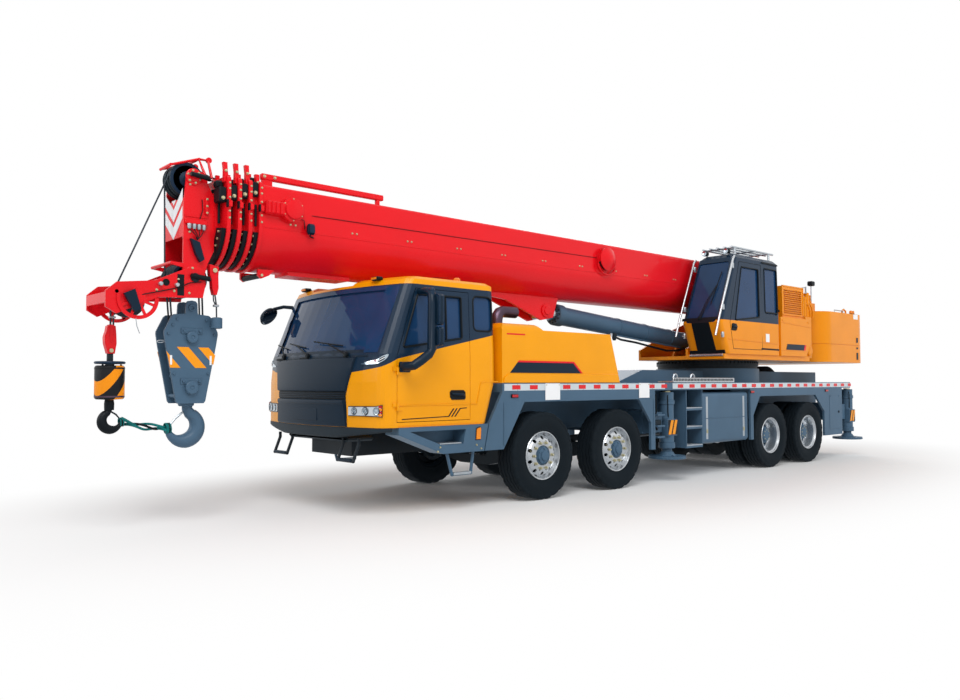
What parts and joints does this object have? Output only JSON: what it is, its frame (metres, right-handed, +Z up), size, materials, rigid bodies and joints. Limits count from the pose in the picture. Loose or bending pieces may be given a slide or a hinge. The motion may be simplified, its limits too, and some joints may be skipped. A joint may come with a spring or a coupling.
{
  "type": "mobile crane",
  "caption": "Truck crane with a low cab, telescopic boom, slewing superstructure, outriggers, hook block and auxiliary hook, ready for the road.",
  "frame": {"origin": "ground level under the middle of the overall box", "axes": "+X forward along the boom, +Y to the left, +Z up"},
  "size_m": [14.391, 3.08, 3.7],
  "materials": {
    "cab_paint": "gloss orange yellow enamel",
    "upper_paint": "gloss orange enamel",
    "boom_paint": "gloss red enamel",
    "carrier_paint": "satin blue grey enamel",
    "dark_iron": "painted dark",
    "tyre_rubber": "black rubber",
    "dark_plastic": "dark moulded plastic",
    "lamp_plastic": "clear moulded lamp cover",
    "tinted_glass": "tinted glass",
    "rod_chrome": "hard chrome"
  },
  "bodies": {
    "carrier": {"chassis_frame": "carrier_paint", "deck": "carrier_paint", "cab_shell": "cab_paint", "cab_roof": "cab_paint", "cab_front": "dark_plastic", "cab_glass": "tinted_glass", "cab_interior": "dark_plastic", "lamps": "lamp_plastic", "engine_cover": "cab_paint", "engine": "dark_iron", "side_tanks": "carrier_paint", "front_axles": "dark_iron", "drive_axles": "dark_iron", "cab_steps": "carrier_paint", "spare_wheel": "tyre_rubber", "slew_ring": "dark_iron"},
    "door_left": {"door_left": "cab_paint", "door_glass_left": "tinted_glass"},
    "door_right": {"door_right": "cab_paint", "door_glass_right": "tinted_glass"},
    "knuckle_1_left": {"knuckle_1_left": "dark_iron"},
    "knuckle_1_right": {"knuckle_1_right": "dark_iron"},
    "knuckle_2_left": {"knuckle_2_left": "dark_iron"},
    "knuckle_2_right": {"knuckle_2_right": "dark_iron"},
    "wheel_1_left": {"wheel_1_left": "tyre_rubber"},
    "wheel_1_right": {"wheel_1_right": "tyre_rubber"},
    "wheel_2_left": {"wheel_2_left": "tyre_rubber"},
    "wheel_2_right": {"wheel_2_right": "tyre_rubber"},
    "wheel_3_left": {"wheel_3_left": "tyre_rubber"},
    "wheel_3_right": {"wheel_3_right": "tyre_rubber"},
    "wheel_4_left": {"wheel_4_left": "tyre_rubber"},
    "wheel_4_right": {"wheel_4_right": "tyre_rubber"},
    "beam_front_left": {"beam_front_left": "carrier_paint"},
    "jack_front_left": {"jack_front_left": "rod_chrome"},
    "beam_front_right": {"beam_front_right": "carrier_paint"},
    "jack_front_right": {"jack_front_right": "rod_chrome"},
    "beam_rear_left": {"beam_rear_left": "carrier_paint"},
    "jack_rear_left": {"jack_rear_left": "rod_chrome"},
    "beam_rear_right": {"beam_rear_right": "carrier_paint"},
    "jack_rear_right": {"jack_rear_right": "rod_chrome"},
    "upper": {"turntable": "upper_paint", "counterweight": "upper_paint", "winches": "dark_iron", "operator_cab": "upper_paint", "operator_door": "upper_paint", "operator_glass": "tinted_glass", "operator_seat": "dark_plastic", "side_cover": "upper_paint", "oil_cooler": "upper_paint"},
    "luff_barrel": {"luff_barrel": "carrier_paint"},
    "luff_rod": {"luff_rod": "rod_chrome"},
    "boom_1": {"boom_1": "boom_paint"},
    "boom_2": {"boom_2": "boom_paint"},
    "boom_3": {"boom_3": "boom_paint"},
    "boom_4": {"boom_4": "boom_paint"},
    "boom_5": {"boom_5": "boom_paint", "head_sheaves": "dark_iron", "rooster_jib": "boom_paint"},
    "main_hook": {"hook_block": "carrier_paint"},
    "aux_hook": {"aux_hook": "carrier_paint"}
  },
  "joints": [
    {"name": "steer_1_left", "type": "hinge", "parent": "carrier", "child": "knuckle_1_left", "pos_m": [2.3045, 0.86, 0.5425], "axis": [0, 0, 1], "range_deg": [-35, 35]},
    {"name": "steer_1_right", "type": "hinge", "parent": "carrier", "child": "knuckle_1_right", "pos_m": [2.3045, -0.86, 0.5425], "axis": [0, 0, 1], "range_deg": [-35, 35]},
    {"name": "steer_2_left", "type": "hinge", "parent": "carrier", "child": "knuckle_2_left", "pos_m": [0.8545, 0.86, 0.5425], "axis": [0, 0, 1], "range_deg": [-27, 27]},
    {"name": "steer_2_right", "type": "hinge", "parent": "carrier", "child": "knuckle_2_right", "pos_m": [0.8545, -0.86, 0.5425], "axis": [0, 0, 1], "range_deg": [-27, 27]},
    {"name": "spin_1_left", "type": "hinge", "parent": "knuckle_1_left", "child": "wheel_1_left", "pos_m": [2.3045, 1.1, 0.5425], "axis": [0, 1, 0], "continuous": true},
    {"name": "spin_1_right", "type": "hinge", "parent": "knuckle_1_right", "child": "wheel_1_right", "pos_m": [2.3045, -1.1, 0.5425], "axis": [0, 1, 0], "continuous": true},
    {"name": "spin_2_left", "type": "hinge", "parent": "knuckle_2_left", "child": "wheel_2_left", "pos_m": [0.8545, 1.1, 0.5425], "axis": [0, 1, 0], "continuous": true},
    {"name": "spin_2_right", "type": "hinge", "parent": "knuckle_2_right", "child": "wheel_2_right", "pos_m": [0.8545, -1.1, 0.5425], "axis": [0, 1, 0], "continuous": true},
    {"name": "spin_3_left", "type": "hinge", "parent": "carrier", "child": "wheel_3_left", "pos_m": [-3.2955, 0.93, 0.5425], "axis": [0, 1, 0], "continuous": true},
    {"name": "spin_3_right", "type": "hinge", "parent": "carrier", "child": "wheel_3_right", "pos_m": [-3.2955, -0.93, 0.5425], "axis": [0, 1, 0], "continuous": true},
    {"name": "spin_4_left", "type": "hinge", "parent": "carrier", "child": "wheel_4_left", "pos_m": [-4.6455, 0.93, 0.5425], "axis": [0, 1, 0], "continuous": true},
    {"name": "spin_4_right", "type": "hinge", "parent": "carrier", "child": "wheel_4_right", "pos_m": [-4.6455, -0.93, 0.5425], "axis": [0, 1, 0], "continuous": true},
    {"name": "door_left_swing", "type": "hinge", "parent": "carrier", "child": "door_left", "pos_m": [4.5575, 1.262, 1.2], "axis": [0, 0, -1], "range_deg": [0, 70]},
    {"name": "door_right_swing", "type": "hinge", "parent": "carrier", "child": "door_right", "pos_m": [4.5575, -1.262, 1.2], "axis": [0, 0, 1], "range_deg": [0, 70]},
    {"name": "beam_front_left_out", "type": "slide", "parent": "carrier", "child": "beam_front_left", "axis": [0, 1, 0], "range_m": [0, 1.9]},
    {"name": "jack_front_left_down", "type": "slide", "parent": "beam_front_left", "child": "jack_front_left", "axis": [0, 0, -1], "range_m": [0, 0.5]},
    {"name": "beam_front_right_out", "type": "slide", "parent": "carrier", "child": "beam_front_right", "axis": [0, -1, 0], "range_m": [0, 1.9]},
    {"name": "jack_front_right_down", "type": "slide", "parent": "beam_front_right", "child": "jack_front_right", "axis": [0, 0, -1], "range_m": [0, 0.5]},
    {"name": "beam_rear_left_out", "type": "slide", "parent": "carrier", "child": "beam_rear_left", "axis": [0, 1, 0], "range_m": [0, 1.9]},
    {"name": "jack_rear_left_down", "type": "slide", "parent": "beam_rear_left", "child": "jack_rear_left", "axis": [0, 0, -1], "range_m": [0, 0.5]},
    {"name": "beam_rear_right_out", "type": "slide", "parent": "carrier", "child": "beam_rear_right", "axis": [0, -1, 0], "range_m": [0, 1.9]},
    {"name": "jack_rear_right_down", "type": "slide", "parent": "beam_rear_right", "child": "jack_rear_right", "axis": [0, 0, -1], "range_m": [0, 0.5]},
    {"name": "slew", "type": "hinge", "parent": "carrier", "child": "upper", "pos_m": [-3.2955, 0, 1.82], "axis": [0, 0, 1], "continuous": true},
    {"name": "luff", "type": "hinge", "parent": "upper", "child": "boom_1", "pos_m": [-5.1955, 0, 2.9], "axis": [0, -1, 0], "range_deg": [0, 80]},
    {"name": "luff_barrel_tilt", "type": "hinge", "parent": "upper", "child": "luff_barrel", "pos_m": [-2.7955, 0, 2.15], "axis": [0, -1, 0], "range_deg": [0, 95]},
    {"name": "luff_rod_slide", "type": "slide", "parent": "luff_barrel", "child": "luff_rod", "axis": [0.9964, 0, 0.0843], "range_m": [0, 3.075]},
    {"name": "tele_2", "type": "slide", "parent": "boom_1", "child": "boom_2", "axis": [1, 0, 0], "range_m": [0, 8.25]},
    {"name": "tele_3", "type": "slide", "parent": "boom_2", "child": "boom_3", "axis": [1, 0, 0], "range_m": [0, 8.25]},
    {"name": "tele_4", "type": "slide", "parent": "boom_3", "child": "boom_4", "axis": [1, 0, 0], "range_m": [0, 8.25]},
    {"name": "tele_5", "type": "slide", "parent": "boom_4", "child": "boom_5", "axis": [1, 0, 0], "range_m": [0, 8.25]},
    {"name": "main_hook_swing", "type": "hinge", "parent": "boom_5", "child": "main_hook", "pos_m": [6.3455, 0, 2.5], "axis": [0, -1, 0], "range_deg": [-68, 0]},
    {"name": "aux_hook_swing", "type": "hinge", "parent": "boom_5", "child": "aux_hook", "pos_m": [6.9055, 0, 2.25], "axis": [0, -1, 0], "range_deg": [-68, 0]}
  ],
  "couplings": [
    {"joint": "steer_1_right", "follows": "steer_1_left", "ratio": 1},
    {"joint": "steer_2_left", "follows": "steer_1_left", "ratio": 0.75},
    {"joint": "steer_2_right", "follows": "steer_1_left", "ratio": 0.75},
    {"joint": "luff_barrel_tilt", "follows": "luff", "ratio": 1.1569},
    {"joint": "luff_rod_slide", "follows": "luff", "m_per_rad": 2.1665},
    {"joint": "tele_3", "follows": "tele_2", "ratio": 1},
    {"joint": "tele_4", "follows": "tele_2", "ratio": 1},
    {"joint": "tele_5", "follows": "tele_2", "ratio": 1},
    {"joint": "main_hook_swing", "follows": "luff", "ratio": -0.84},
    {"joint": "aux_hook_swing", "follows": "luff", "ratio": -0.84}
  ]
}
